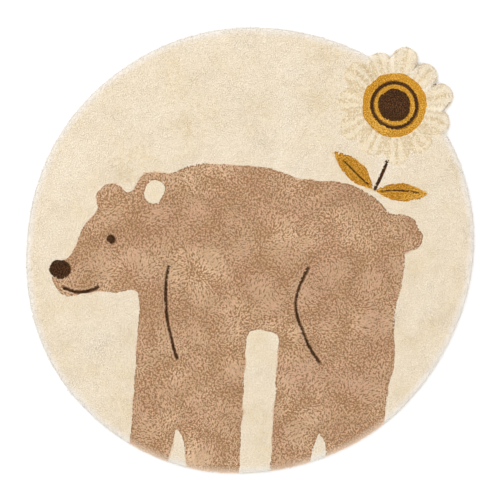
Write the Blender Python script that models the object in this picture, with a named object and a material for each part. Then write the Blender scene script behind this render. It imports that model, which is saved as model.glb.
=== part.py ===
"""A hand-tufted cotton rug for a child's room, lying flat.

One solid: base cloth and cut pile together, up to the tips of the pile. The rug is nearly round, about 1.2 m
across, a little longer on one diagonal, and the petals of a flower stand out past its rim at the upper right.
The picture, a bear with a flower behind its back, is a few rounded shapes melted together. The line that the
shears leave round each colour is a shallow groove in the top.

Metres, +Z up. The underside lies in z = 0, with the origin at its middle, and the picture's up is +Y.
"""

import math

import bpy

# ---- Driving dimensions ----
RADIUS = 0.600  # of the rug without its petals
PILE_TOP = 0.015  # base cloth of 3 mm with 12 mm of pile on it
GROOVE = 0.0035  # half the width, and the depth, of the sheared line round a colour

# How far the rim wanders from a circle. Columns: waves round the rim, height, direction of the first crest in
# degrees. The two-wave row is the longer diagonal, and the one-wave row centres the whole outline.
RIM_WAVES = (
    (1, 0.0030, 146.5),
    (2, 0.0110, 41.5),
    (3, 0.0020, 16.0),
    (4, 0.0020, 39.0),
    (7, 0.0011, -2.0),
)

# The rounded edge from the floor up. Columns: how far it stands in from the rim, height.
EDGE_PROFILE = (
    (0.0050, 0.0000),
    (0.0010, 0.0030),
    (0.0000, 0.0070),
    (0.0020, 0.0115),
    (0.0065, 0.0143),
    (0.0120, PILE_TOP),
)

# The flower: a ring of round-ended petals about a disc with a dark heart.
FLOWER = (0.385, 0.388)
PETALS = 11
PETAL_FIRST = math.radians(11)  # direction of the first petal
PETAL_REACH = 0.155
PETAL_TIP = 0.036  # radius of a petal's round end
PETAL_FOOT = 0.024  # radius of its narrow end, which the disc hides
PETAL_UNEVEN = 0.05  # share by which one petal is longer than another
DISC = 0.086
RING = 0.060  # a line of dark yarn round the heart
HEART = 0.044

# The bear, facing left, of bars with round ends. Columns: name, one end's x, y and radius, the other end's.
# The legs run on past the rim, which cuts them off.
BEAR = (
    ("barrel", 0.205, -0.020, 0.205, -0.095, 0.000, 0.205),
    ("hump", 0.010, 0.075, 0.150, -0.120, 0.080, 0.152),
    ("neck", -0.125, 0.050, 0.155, -0.300, 0.026, 0.120),
    ("head", -0.315, 0.020, 0.120, -0.350, 0.005, 0.112),
    ("muzzle", -0.385, -0.030, 0.076, -0.478, -0.072, 0.050),
    ("near ear", -0.255, 0.158, 0.052, -0.257, 0.156, 0.052),
    ("far ear", -0.372, 0.140, 0.038, -0.373, 0.139, 0.038),
    ("near haunch", 0.247, -0.065, 0.155, 0.275, -0.280, 0.105),
    ("near hind leg", 0.275, -0.280, 0.105, 0.274, -0.660, 0.058),
    ("far hind leg", 0.165, -0.180, 0.085, 0.092, -0.660, 0.044),
    ("near fore leg", -0.122, -0.110, 0.120, -0.094, -0.660, 0.060),
    ("far fore leg", -0.205, -0.100, 0.088, -0.286, -0.660, 0.044),
    ("tail", 0.408, 0.058, 0.038, 0.430, 0.034, 0.032),
)
BEAR_MELT = 0.030  # how softly one bar runs into the next
EAR_INNER = ("inner ear", -0.255, 0.161, 0.026, -0.258, 0.151, 0.024)
NOSE = ("nose", -0.515, -0.048, 0.022, -0.505, -0.052, 0.026)
EYE = ("eye", -0.373, 0.031, 0.011, -0.371, 0.029, 0.011)

# Leaves. Columns: foot x and y, tip x and y, half the width.
LEAVES = (
    (0.330, 0.165, 0.225, 0.265, 0.026),
    (0.335, 0.160, 0.475, 0.150, 0.024),
)

# Single lines of dark yarn. Columns: name, start, the point that the line bends towards, end.
YARN_LINES = (
    ("shoulder", (-0.215, -0.040), (-0.245, -0.150), (-0.195, -0.290)),
    ("haunch", (0.155, -0.045), (0.080, -0.160), (0.185, -0.300)),
    ("mouth", (-0.500, -0.100), (-0.455, -0.125), (-0.405, -0.095)),
    ("stem", (0.367, 0.242), (0.352, 0.200), (0.332, 0.162)),
    ("left vein", (0.316, 0.178), (0.285, 0.200), (0.250, 0.241)),
    ("right vein", (0.352, 0.159), (0.390, 0.165), (0.446, 0.152)),
)

TRACE_STEP = 0.014  # between the points along the bear's outline
SMALL_STEP = 0.007  # the same round small shapes
RIM_STEP = math.radians(1.8)  # between the points round the rim
FINE_STEP = math.radians(0.6)  # the same where the petals stand out
HALF_LOBE = math.radians(18)  # the petals stand out within this angle of the flower's direction
SURE_INSIDE = 0.02  # a groove ends this far from the rim


# ---- Shapes of the picture: each gives the distance to its edge, below zero inside ----
def bar(x, y, row):
    """A bar with round ends that may differ in size."""
    x0, y0, r0, x1, y1, r1 = row[1:]
    dx, dy = x1 - x0, y1 - y0
    t = ((x - x0) * dx + (y - y0) * dy) / (dx * dx + dy * dy)
    t = min(1.0, max(0.0, t))
    return math.hypot(x - x0 - t * dx, y - y0 - t * dy) - r0 - t * (r1 - r0)


def melt(a, b, soft):
    """Two shapes joined with a rounded inner corner."""
    h = min(1.0, max(0.0, 0.5 + 0.5 * (b - a) / soft))
    return b + (a - b) * h - soft * h * (1 - h)


def bear(x, y):
    near = bar(x, y, BEAR[0])
    for row in BEAR[1:]:
        near = melt(near, bar(x, y, row), BEAR_MELT)
    return near


def petal(number):
    """A petal as a bar that grows wider from its foot to its round tip."""
    turn = PETAL_FIRST + math.tau * number / PETALS
    reach = PETAL_REACH * (1 + PETAL_UNEVEN * math.sin(3.1 * number + 1)) - PETAL_TIP
    along = (math.cos(turn), math.sin(turn))
    foot = [FLOWER[k] + DISC * 0.8 * along[k] for k in (0, 1)]
    tip = [FLOWER[k] + reach * along[k] for k in (0, 1)]
    return ("petal", *foot, PETAL_FOOT, *tip, PETAL_TIP)


PETAL_ROWS = [petal(number) for number in range(PETALS)]


def petals(x, y):
    return min(bar(x, y, row) for row in PETAL_ROWS)


def rim_radius(turn):
    """The rug's own radius without the petals."""
    return RADIUS + sum(high * math.cos(n * (turn - math.radians(crest))) for n, high, crest in RIM_WAVES)


def round_part(x, y):
    return math.hypot(x, y) - rim_radius(math.atan2(y, x))


def rug(x, y):
    return min(round_part(x, y), petals(x, y))


# ---- Lines found from the shapes ----
def last_inside(shape, middle, turn, far):
    """How far out along a ray from the middle the shape still reaches."""
    def at(reach):
        return shape(middle[0] + reach * math.cos(turn), middle[1] + reach * math.sin(turn))

    step = 0.004
    inside = far
    while at(inside) > 0:
        inside -= step
    outside = inside + step
    for _ in range(20):
        half = (inside + outside) / 2
        if at(half) > 0:
            outside = half
        else:
            inside = half
    return inside


def trace(shape, start, step):
    """Points a step apart round a shape's edge, from a start near it."""
    def slope(x, y, small=1e-4):
        return (
            (shape(x + small, y) - shape(x - small, y)) / (2 * small),
            (shape(x, y + small) - shape(x, y - small)) / (2 * small),
        )

    def pull(x, y):
        """The nearest place on the edge."""
        for _ in range(6):
            gx, gy = slope(x, y)
            away = shape(x, y) / (gx * gx + gy * gy)
            x, y = x - away * gx, y - away * gy
        return x, y

    x, y = pull(*start)
    points = [(x, y)]
    while len(points) < 6 or math.dist((x, y), points[0]) > step * 0.8:
        gx, gy = slope(x, y)
        long = math.hypot(gx, gy)
        x, y = pull(x - step * gy / long, y + step * gx / long)
        points.append((x, y))
    return points


def outward(middle, turn, reach):
    return (middle[0] + reach * math.cos(turn), middle[1] + reach * math.sin(turn))


def circle(middle, radius, count):
    return [outward(middle, math.tau * k / count, radius) for k in range(count)]


def bent(start, towards, end, count=12):
    """A line bent towards a point."""
    points = []
    for k in range(count + 1):
        t = k / count
        a, b, c = (1 - t) ** 2, 2 * t * (1 - t), t * t
        points.append(tuple(a * p + b * q + c * r for p, q, r in zip(start, towards, end)))
    return points


def leaf_edge(foot_x, foot_y, tip_x, tip_y, half, count=9):
    """Round a leaf: out along one side and back along the other."""
    dx, dy = tip_x - foot_x, tip_y - foot_y
    long = math.hypot(dx, dy)
    points = []
    for side in (1, -1):
        for k in range(count):
            t = k / count if side == 1 else 1 - k / count
            wide = side * half * math.sin(math.pi * t) ** 0.8 / long
            points.append((foot_x + t * dx - wide * dy, foot_y + t * dy + wide * dx))
    return points


def petal_edge(count=110):
    """The scalloped line round the petals, as far as it lies on the rug's round part."""
    away = math.atan2(FLOWER[1], FLOWER[0])
    points = []
    for k in range(count):
        turn = away + math.tau * k / count
        point = outward(FLOWER, turn, last_inside(petals, FLOWER, turn, PETAL_REACH * 1.2))
        if round_part(*point) < -SURE_INSIDE:
            points.append(point)
    return points


def between_petals(number):
    """The straight line from the disc to the notch between two petals."""
    turn = PETAL_FIRST + math.tau * (number + 0.5) / PETALS
    notch = last_inside(petals, FLOWER, turn, PETAL_REACH * 1.2)
    return [outward(FLOWER, turn, DISC + GROOVE), outward(FLOWER, turn, notch - 3 * GROOVE)]


def rim_turns():
    """Directions round the rim, closer together where the petals stand out."""
    first = math.atan2(FLOWER[1], FLOWER[0]) - HALF_LOBE
    fine = round(2 * HALF_LOBE / FINE_STEP)
    coarse = round((math.tau - 2 * HALF_LOBE) / RIM_STEP)
    turns = [first + k * FINE_STEP for k in range(fine)]
    return turns + [first + fine * FINE_STEP + k * RIM_STEP for k in range(coarse)]


# ---- Solids ----
def plain_material(name, colour, roughness):
    made = bpy.data.materials.new(name)
    made.use_nodes = True
    shader = made.node_tree.nodes["Principled BSDF"]
    shader.inputs["Base Color"].default_value = (*colour, 1)
    shader.inputs["Roughness"].default_value = roughness
    shader.inputs["Metallic"].default_value = 0
    return made


def add_object(name, data):
    made = bpy.data.objects.new(name, data)
    bpy.context.scene.collection.objects.link(made)
    return made


def rug_body():
    """Rings of points up the rounded edge, closed by a flat face below and one above."""
    turns = rim_turns()
    reaches = [last_inside(rug, (0, 0), turn, RADIUS + PETAL_REACH) for turn in turns]
    points = []
    for inset, height in EDGE_PROFILE:
        for turn, reach in zip(turns, reaches):
            points.append((*outward((0, 0), turn, reach - inset), height))
    count = len(turns)
    faces = [tuple(reversed(range(count)))]
    for ring in range(len(EDGE_PROFILE) - 1):
        low, high = ring * count, (ring + 1) * count
        for k in range(count):
            after = (k + 1) % count
            faces.append((low + k, low + after, high + after, high + k))
    faces.append(tuple(range(len(points) - count, len(points))))
    mesh = bpy.data.meshes.new("rug")
    mesh.from_pydata(points, [], faces)
    mesh.shade_smooth()
    mesh.set_sharp_from_angle(angle=math.radians(35))
    mesh.materials.append(plain_material("cream cotton pile", (0.86, 0.75, 0.60), 0.95))
    return add_object("rug", mesh)


def sheared_lines():
    """A four-sided cord along each line that the shears cut, half sunk in the pile's top."""
    lines = bpy.data.curves.new("sheared_lines", "CURVE")
    lines.dimensions = "3D"
    lines.bevel_depth = GROOVE
    lines.bevel_resolution = 0
    lines.use_fill_caps = True

    def add(points, closed):
        line = lines.splines.new("POLY")
        line.points.add(len(points) - 1)
        for point, (x, y) in zip(line.points, points):
            point.co = (x, y, PILE_TOP, 1)
        line.use_cyclic_u = closed

    add(trace(bear, (0.0, 0.22), TRACE_STEP), True)
    for row in (EAR_INNER, NOSE, EYE):
        start = (row[1], row[2] + row[3])
        add(trace(lambda x, y: bar(x, y, row), start, SMALL_STEP), True)
    for radius, count in ((DISC, 40), (RING, 30), (HEART, 24)):
        add(circle(FLOWER, radius, count), True)
    for leaf in LEAVES:
        add(leaf_edge(*leaf), True)
    add(petal_edge(), False)
    for number in range(PETALS):
        add(between_petals(number), False)
    for _, start, towards, end in YARN_LINES:
        add(bent(start, towards, end), False)

    cords = add_object("sheared_lines_curve", lines)
    bpy.context.view_layer.update()
    mesh = bpy.data.meshes.new_from_object(cords.evaluated_get(bpy.context.evaluated_depsgraph_get()))
    bpy.data.objects.remove(cords, do_unlink=True)
    return add_object("sheared_lines", mesh)


def main():
    for old in list(bpy.data.objects):
        bpy.data.objects.remove(old, do_unlink=True)
    body = rug_body()
    cutter = sheared_lines()
    cutter.hide_render = True
    cutter.display_type = "WIRE"
    cut = body.modifiers.new("sheared lines", "BOOLEAN")
    cut.operation = "DIFFERENCE"
    cut.solver = "EXACT"
    cut.use_self = True
    cut.object = cutter


main()
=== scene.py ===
# %% [markdown]
# # A round tufted rug, stitch by stitch
#
# The real rug is hand-tufted cotton. A tufting gun pushes yarn through a base cloth, each stitch leaves
# two cut ends standing up, and shears then level the pile and cut a fine groove round each colour. From
# above one sees thousands of soft ends that lean this way and that, with dark gaps between them.
#
# A flat disc with a picture painted on it would lose that grain, the fuzzy rim and the way the pile hides
# its own colour edges. So every stitch is built here: Python decides where each one stands, how it leans
# and what yarn it is, and one Geometry Nodes tree grows the two ends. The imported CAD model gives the
# frame that all of it fits in.

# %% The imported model
import math
from functools import partial

import bmesh
import bpy
import numpy as np
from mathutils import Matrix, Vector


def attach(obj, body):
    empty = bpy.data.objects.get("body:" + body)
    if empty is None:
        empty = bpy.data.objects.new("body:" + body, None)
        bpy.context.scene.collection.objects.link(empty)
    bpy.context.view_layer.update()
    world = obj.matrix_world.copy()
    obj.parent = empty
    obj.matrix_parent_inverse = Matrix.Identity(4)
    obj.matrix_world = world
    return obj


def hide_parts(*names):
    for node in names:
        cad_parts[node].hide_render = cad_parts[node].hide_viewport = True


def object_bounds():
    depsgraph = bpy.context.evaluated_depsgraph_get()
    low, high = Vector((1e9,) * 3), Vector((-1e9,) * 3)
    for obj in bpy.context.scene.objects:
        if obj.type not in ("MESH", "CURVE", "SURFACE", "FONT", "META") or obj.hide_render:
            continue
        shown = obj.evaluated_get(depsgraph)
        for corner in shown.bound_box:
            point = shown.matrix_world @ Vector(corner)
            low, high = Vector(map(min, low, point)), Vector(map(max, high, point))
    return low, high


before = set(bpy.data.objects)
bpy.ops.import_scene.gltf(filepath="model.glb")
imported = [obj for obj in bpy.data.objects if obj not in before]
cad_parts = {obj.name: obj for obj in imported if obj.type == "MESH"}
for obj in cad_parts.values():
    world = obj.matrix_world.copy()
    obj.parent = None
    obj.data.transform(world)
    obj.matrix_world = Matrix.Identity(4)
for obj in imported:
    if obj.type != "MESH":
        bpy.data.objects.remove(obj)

cad_low, cad_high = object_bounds()
PILE_TOP = cad_high.z
print("CAD box, mm:", [round(1000 * (high - low), 1) for low, high in zip(cad_low, cad_high)])

# %% [markdown]
# ## The camera, the light and the floor
#
# The photo looks straight down at the rug from far away, on a white ground, with soft light and next to
# no shadow. A long lens high up gives the same flat view. The light is a white sky, which reaches into
# the gaps, and one large soft lamp to one side, which gives each leaning end a light and a dark flank.
# The floor is white and slightly overexposed, as in a studio.

# %% Camera
PHOTO_PIXELS = 500
MM_PER_PIXEL = 2.67
PHOTO_MIDDLE = (-0.0005, 0.0013)  # the point of the rug under the middle of the picture
CAMERA_HEIGHT = 4.0


def add_object(name, data):
    made = bpy.data.objects.new(name, data)
    bpy.context.scene.collection.objects.link(made)
    return made


camera = add_object("camera", bpy.data.cameras.new("camera"))
camera.location = (*PHOTO_MIDDLE, CAMERA_HEIGHT)
seen_width = PHOTO_PIXELS * MM_PER_PIXEL / 1000
camera.data.lens = camera.data.sensor_width * (CAMERA_HEIGHT - PILE_TOP) / seen_width
bpy.context.scene.camera = camera
print("lens, mm:", round(camera.data.lens, 1), "for a view", round(seen_width, 3), "m wide")

# %% Colours and nodes


def linear(code, alpha=1.0):
    """An sRGB hex colour as the linear numbers that shaders work in."""
    values = [int(code[k : k + 2], 16) / 255 for k in (1, 3, 5)]
    return (*(v / 12.92 if v <= 0.04045 else ((v + 0.055) / 1.055) ** 2.4 for v in values), alpha)


def add_node(tree, kind, inputs=None, **settings):
    """One node. inputs gives each socket, by name or number, its value or the output that feeds it. A node in
    place of an output stands for its first one."""
    made = tree.nodes.new(kind)
    for name, value in settings.items():
        setattr(made, name, value)
    for key, value in (inputs or {}).items():
        if isinstance(value, bpy.types.Node):
            value = value.outputs[0]
        if isinstance(value, bpy.types.NodeSocket):
            tree.links.new(value, made.inputs[key])
        else:
            made.inputs[key].default_value = value
    return made


def new_material(name):
    made = bpy.data.materials.new(name)
    made.use_nodes = True
    return made, made.node_tree, made.node_tree.nodes["Principled BSDF"]


print("one function turns a hex colour to linear, one adds a node, one starts a material")

# %% Light
SKY_STRENGTH = 1.21
LAMP_POWER = 20.0
LAMP_SIZE = 1.6
LAMP_PLACE = (-1.7, 2.1, 2.4)

world = bpy.data.worlds.new("studio")
world.use_nodes = True
world.node_tree.nodes["Background"].inputs["Color"].default_value = linear("#FFFFFF")
world.node_tree.nodes["Background"].inputs["Strength"].default_value = SKY_STRENGTH
bpy.context.scene.world = world

lamp = add_object("soft_lamp", bpy.data.lights.new("soft_lamp", "AREA"))
lamp.data.size = LAMP_SIZE
lamp.data.energy = LAMP_POWER
lamp.location = LAMP_PLACE
towards_rug = -lamp.location
lamp.rotation_euler = towards_rug.to_track_quat("-Z", "Y").to_euler()

bpy.context.scene.view_settings.view_transform = "Standard"
lamp_rise = math.degrees(math.atan2(LAMP_PLACE[2], math.hypot(*LAMP_PLACE[:2])))
print("lamp stands", round(lamp_rise), "degrees up")

# %% Floor
FLOOR_HALF = 6.0
FLOOR_WHITES = ("#F7F7F7", "#F9F9F9")
FLOOR_MOTTLE = 1 / 3  # size of its faint clouds

floor_mesh = bpy.data.meshes.new("floor")
corners = [(x * FLOOR_HALF, y * FLOOR_HALF, 0) for x, y in ((-1, -1), (1, -1), (1, 1), (-1, 1))]
floor_mesh.from_pydata(corners, [], [(0, 1, 2, 3)])
floor = add_object("floor", floor_mesh)
painted, floor_tree, floor_shader = new_material("white matt paint on board")
mottle = add_node(floor_tree, "ShaderNodeTexNoise", {"Scale": 1 / FLOOR_MOTTLE, "Detail": 3.0})
whites = {6 + k: linear(white) for k, white in enumerate(FLOOR_WHITES)}
shade = add_node(floor_tree, "ShaderNodeMix", {0: mottle, **whites}, data_type="RGBA")
floor_tree.links.new(shade.outputs[2], floor_shader.inputs["Base Color"])
floor_shader.inputs["Roughness"].default_value = 0.9
floor_mesh.materials.append(painted)
print("floor", 2 * FLOOR_HALF, "m wide, as part of the stage and not of the rug")

# %% [markdown]
# ## The picture as shapes
#
# On the real rug the picture is drawn on the base cloth and each colour is tufted inside its lines. Here
# a shape is a function that says how far a point is from the shape's edge, below zero inside. The bear is
# a few bars with round ends melted into each other, the flower is a ring of bars round a disc, and a leaf
# is a sine bulge along a line. Distances are better than drawn outlines here, because the stitches have
# to know how near an edge they are. The sizes are the CAD model's own, in metres.

# %% Sizes of the picture
RADIUS = 0.600

# How far the rim wanders from a circle. Columns: waves round the rim, height, direction of the first crest.
RIM_WAVES = (
    (1, 0.0030, 146.5),
    (2, 0.0110, 41.5),
    (3, 0.0020, 16.0),
    (4, 0.0020, 39.0),
    (7, 0.0011, -2.0),
)

FLOWER = (0.385, 0.388)
PETALS = 11
PETAL_FIRST = math.radians(11)
PETAL_REACH = 0.155
PETAL_TIP = 0.036
PETAL_FOOT = 0.024
PETAL_UNEVEN = 0.05  # share by which the petals differ in length
PETAL_BEAT = 3.1  # how fast that changes from petal to petal
PETAL_START = 0.8  # where a petal's bar starts, as a share of the disc's radius
DISC = 0.086
RING = 0.060
HEART = 0.044

# The bear, facing left. Columns: name, one end's x, y and radius, the other end's.
BEAR = (
    ("barrel", 0.205, -0.020, 0.205, -0.095, 0.000, 0.205),
    ("hump", 0.010, 0.075, 0.150, -0.120, 0.080, 0.152),
    ("neck", -0.125, 0.050, 0.155, -0.300, 0.026, 0.120),
    ("head", -0.315, 0.020, 0.120, -0.350, 0.005, 0.112),
    ("muzzle", -0.385, -0.030, 0.076, -0.478, -0.072, 0.050),
    ("near ear", -0.255, 0.158, 0.052, -0.257, 0.156, 0.052),
    ("far ear", -0.372, 0.140, 0.038, -0.373, 0.139, 0.038),
    ("near haunch", 0.247, -0.065, 0.155, 0.275, -0.280, 0.105),
    ("near hind leg", 0.275, -0.280, 0.105, 0.274, -0.660, 0.058),
    ("far hind leg", 0.165, -0.180, 0.085, 0.092, -0.660, 0.044),
    ("near fore leg", -0.122, -0.110, 0.120, -0.094, -0.660, 0.060),
    ("far fore leg", -0.205, -0.100, 0.088, -0.286, -0.660, 0.044),
    ("tail", 0.408, 0.058, 0.038, 0.430, 0.034, 0.032),
)
BEAR_MELT = 0.030
EAR_INNER = ("inner ear", -0.255, 0.161, 0.026, -0.258, 0.151, 0.024)
NOSE = ("nose", -0.515, -0.048, 0.022, -0.505, -0.052, 0.026)
EYE = ("eye", -0.373, 0.031, 0.011, -0.371, 0.029, 0.011)

LEAF_ROUND = 0.8  # below 1 a leaf is fuller than a sine

# Leaves. Columns: foot x and y, tip x and y, half the width.
LEAVES = (
    (0.330, 0.165, 0.225, 0.265, 0.026),
    (0.335, 0.160, 0.475, 0.150, 0.024),
)

# Lines of dark yarn. Columns: start, the point that the line bends towards, end, rows of stitches side by
# side.
YARN_LINES = {
    "shoulder": ((-0.215, -0.040), (-0.245, -0.150), (-0.195, -0.290), 2),
    "haunch": ((0.155, -0.045), (0.080, -0.160), (0.185, -0.300), 2),
    "mouth": ((-0.500, -0.100), (-0.455, -0.125), (-0.405, -0.095), 2),
    "stem": ((0.367, 0.242), (0.352, 0.200), (0.332, 0.162), 2),
    "left vein": ((0.316, 0.178), (0.285, 0.200), (0.250, 0.241), 1),
    "right vein": ((0.352, 0.159), (0.390, 0.165), (0.446, 0.152), 1),
}
print(len(BEAR), "bars make the bear,", PETALS, "petals the flower")

# %% Shapes
# How a line tufted by hand strays from the drawn one, as waves along x or y that slower waves bend.
# Columns: height, axis, waves, bend, waves of the bend, its start.
WAVERS = (
    (0.0008, "x", 97, 2.6, 43, 0),
    (0.0008, "y", 89, 2.2, 51, 1),
    (0.0005, "x", 263, 2.0, 149, 2),
    (0.0005, "y", 281, 2.0, 163, 0),
)


def bar(x, y, row):
    """A bar with round ends that may differ in size."""
    x0, y0, r0, x1, y1, r1 = row[1:]
    dx, dy = x1 - x0, y1 - y0
    t = np.clip(((x - x0) * dx + (y - y0) * dy) / (dx * dx + dy * dy), 0, 1)
    return np.hypot(x - x0 - t * dx, y - y0 - t * dy) - r0 - t * (r1 - r0)


def melt(a, b, soft):
    """Two shapes joined with a rounded inner corner."""
    h = np.clip(0.5 + 0.5 * (b - a) / soft, 0, 1)
    return b + (a - b) * h - soft * h * (1 - h)


def waver(x, y):
    """How far the line strays at each point."""
    total = 0.0
    for high, axis, fast, bend, slow, start in WAVERS:
        ahead, aside = (x, y) if axis == "x" else (y, x)
        total = total + high * np.sin(fast * ahead + bend * np.sin(slow * aside + start))
    return total


def bear(x, y):
    near = bar(x, y, BEAR[0])
    for row in BEAR[1:]:
        near = melt(near, bar(x, y, row), BEAR_MELT)
    return near + waver(x, y)


def inner_ear(x, y):
    return bar(x, y, EAR_INNER) + waver(x, y)


def nose(x, y):
    return bar(x, y, NOSE) + waver(x, y)


def eye(x, y):
    return bar(x, y, EYE)


def petal(number):
    """A petal as a bar that grows wider from its foot to its round tip."""
    turn = PETAL_FIRST + math.tau * number / PETALS
    reach = PETAL_REACH * (1 + PETAL_UNEVEN * math.sin(PETAL_BEAT * number + 1)) - PETAL_TIP
    along = (math.cos(turn), math.sin(turn))
    foot = [FLOWER[k] + DISC * PETAL_START * along[k] for k in (0, 1)]
    tip = [FLOWER[k] + reach * along[k] for k in (0, 1)]
    return ("petal", *foot, PETAL_FOOT, *tip, PETAL_TIP)


PETAL_ROWS = [petal(number) for number in range(PETALS)]


def petals(x, y):
    return np.minimum.reduce([bar(x, y, row) for row in PETAL_ROWS])


def from_flower(x, y):
    return np.hypot(x - FLOWER[0], y - FLOWER[1])


def leaf(x, y, row):
    foot_x, foot_y, tip_x, tip_y, half = row
    dx, dy = tip_x - foot_x, tip_y - foot_y
    long = math.hypot(dx, dy)
    t = ((x - foot_x) * dx + (y - foot_y) * dy) / long**2
    aside = np.abs((y - foot_y) * dx - (x - foot_x) * dy) / long
    width = half * np.sin(math.pi * np.clip(t, 0, 1)) ** LEAF_ROUND
    past_end = np.maximum(-t, t - 1) * long
    return np.maximum(aside - width, past_end) + waver(x, y)


def leaves(x, y):
    """Both leaves, as far as the bear doesn't cover them."""
    return np.maximum(np.minimum(leaf(x, y, LEAVES[0]), leaf(x, y, LEAVES[1])), -bear(x, y))


def rim_radius(turn):
    high = sum(high * np.cos(n * (turn - math.radians(crest))) for n, high, crest in RIM_WAVES)
    return RADIUS + high


def round_part(x, y):
    return np.hypot(x, y) - rim_radius(np.arctan2(y, x))


def rug(x, y):
    return np.minimum(round_part(x, y), petals(x, y))


def slope(shape, x, y, small=1e-4):
    """Which way a shape's distance grows, as a unit vector."""
    gx = shape(x + small, y) - shape(x - small, y)
    gy = shape(x, y + small) - shape(x, y - small)
    long = np.maximum(np.hypot(gx, gy), 1e-9)
    return gx / long, gy / long


# %% Check against the CAD model
turns = np.linspace(-math.pi, math.pi, 720)
width = [float(np.max(sign * rim_radius(turns) * np.cos(turns))) for sign in (-1, 1)]
print("the round part is", round(1000 * sum(width), 1), "mm wide")
print("and the CAD model", round(1000 * (cad_high.x - cad_low.x), 1), "mm")

# %% [markdown]
# ## Where the stitches stand
#
# A tufting gun walks in rows, and hands don't hold it perfectly straight. A triangular lattice with each
# point moved a little gives that: even cover, no two stitches on one spot, and no rows that the eye can
# follow. Along a line of the picture the stitches on both sides stand in a neat row, half a stitch from
# the line, and that makes a crisp edge. So a point that is too near a line is pushed back from it.

# %% Lattice
SEED = 7
WANDER = 0.27  # how far a stitch may stand off its place, as a share of the pitch
# Real stitches are 2 to 3 mm apart in every yarn; these stand further apart, to keep the triangles fewer.
FINE_PITCH = 0.0047  # its pairs of ends give the grain of the photo, 3 to 6 mm
CREAM_PITCH = 0.0068  # cream ends are thicker, and their grain hardly shows
EDGE_INSET = 0.006  # of the outermost stitches from the rim: their ends lean out over it
# How the rows bend, slowly and faster. Columns: height, waves up the rug and start, waves across and start.
ROW_BENDS = ((0.012, 9, 1, 8, 3), (0.005, 31, 2, 27, 1))

dice = np.random.default_rng(SEED)


def lattice(pitch, half=0.70):
    """Points of a triangular lattice inside the rim, each a little off its place, on rows that bend."""
    rows = np.arange(-half, half, pitch * math.sqrt(3) / 2)
    columns = np.arange(-half, half, pitch)
    x, y = np.meshgrid(columns, rows)
    x = x + (np.arange(len(rows)) % 2)[:, None] * pitch / 2
    x = x + pitch * WANDER * dice.uniform(-1, 1, x.shape)
    y = y + pitch * WANDER * dice.uniform(-1, 1, y.shape)
    bend_x = sum(high * np.sin(y * waves + start) for high, waves, start, _, _ in ROW_BENDS)
    bend_y = sum(high * np.sin(x * waves + start) for high, _, _, waves, start in ROW_BENDS)
    x, y = (x + bend_x).ravel(), (y + bend_y).ravel()
    inside = rug(x, y) < -EDGE_INSET
    return x[inside], y[inside]


print("stitches", 1000 * FINE_PITCH, "mm apart in colours and", 1000 * CREAM_PITCH, "mm in cream")

# %% Dark lines
ROW_APART = 0.0043  # between the two rows of a dark line
ROW_STRAY = 0.0009  # how far a stitch of a row may stand off it, which makes the line's edge ragged
ROW_STEP = 0.0040  # between the stitches of one row
HALF_STITCH = 0.0022  # from a line of the picture to the first row
LINE_HALF = {1: 0.0024, 2: 0.0047, 3: 0.0060}  # half the width of a line of so many rows
RING_PARTS = 60
NEARBY = 1e-4  # a short way along a line, which gives its direction
line_dice = np.random.default_rng(SEED + 1)


def bent(start, towards, end, count=13):
    """Points on a line that is bent towards a point."""
    t = np.linspace(0, 1, count)[:, None]
    return (1 - t) ** 2 * np.array(start) + 2 * t * (1 - t) * np.array(towards) + t**2 * np.array(end)


def line_shape(points, half):
    """The distance to a thick line through the points."""
    rows = [("line", *a, half, *b, half) for a, b in zip(points[:-1], points[1:])]
    return lambda x, y: np.minimum.reduce([bar(x, y, row) for row in rows])


def row_along(points, aside):
    """Stitches every step along a line, at a distance to its left."""
    lengths = np.hypot(*np.diff(points, axis=0).T)
    far = np.concatenate([[0], np.cumsum(lengths)])
    at = np.arange(ROW_STEP / 2, far[-1], ROW_STEP)
    before, after = (
        np.array([np.interp(at + way, far, points[:, k]) for k in (0, 1)]) for way in (-NEARBY, NEARBY)
    )
    ahead = after - before
    ahead /= np.hypot(*ahead)
    aside = aside + line_dice.uniform(-ROW_STRAY, ROW_STRAY, len(at))
    return (
        np.interp(at, far, points[:, 0]) - aside * ahead[1],
        np.interp(at, far, points[:, 1]) + aside * ahead[0],
    )


ring_turns = np.linspace(0, math.tau, RING_PARTS + 1)[:, None]
ring_points = np.array(FLOWER) + RING * np.hstack([np.cos(ring_turns), np.sin(ring_turns)])
dark_lines = {name: (bent(*row[:3]), row[3]) for name, row in YARN_LINES.items()}
dark_lines["ring"] = (ring_points, 3)

line_shapes = {name: line_shape(points, LINE_HALF[rows]) for name, (points, rows) in dark_lines.items()}
line_x, line_y = [], []
for name, (points, rows) in dark_lines.items():
    for aside in (np.arange(rows) - (rows - 1) / 2) * ROW_APART:
        row_x, row_y = row_along(points, aside)
        line_x.append(row_x)
        line_y.append(row_y)
line_x, line_y = np.concatenate(line_x), np.concatenate(line_y)
print(len(line_x), "stitches in", len(dark_lines), "dark lines")

# %% Rows along the edges of the picture


def disc_edge(x, y):
    return from_flower(x, y) - DISC + waver(x, y)


def heart_edge(x, y):
    return from_flower(x, y) - HEART + waver(x, y)


def petal_edge(x, y):
    """The petals' scalloped line, where they lie on the round part. Inside the disc it isn't a line."""
    return np.maximum(petals(x, y), -disc_edge(x, y))


ROW_UNEVEN = 0.35  # share by which the stitches of a row differ in their distance from the line
COLOUR_EDGES = [bear, inner_ear, nose, eye, leaves, petal_edge, disc_edge, heart_edge]


def push_back(shape, x, y, room):
    """Moves points nearer than room to a shape's edge straight back from it."""
    away = shape(x, y)
    near = np.abs(away) < room
    gx, gy = slope(shape, x[near], y[near])
    room = room * dice.uniform(1 - ROW_UNEVEN, 1 + ROW_UNEVEN, int(near.sum()))
    move = np.where(away[near] < 0, -room, room) - away[near]
    x[near] += move * gx
    y[near] += move * gy


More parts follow.
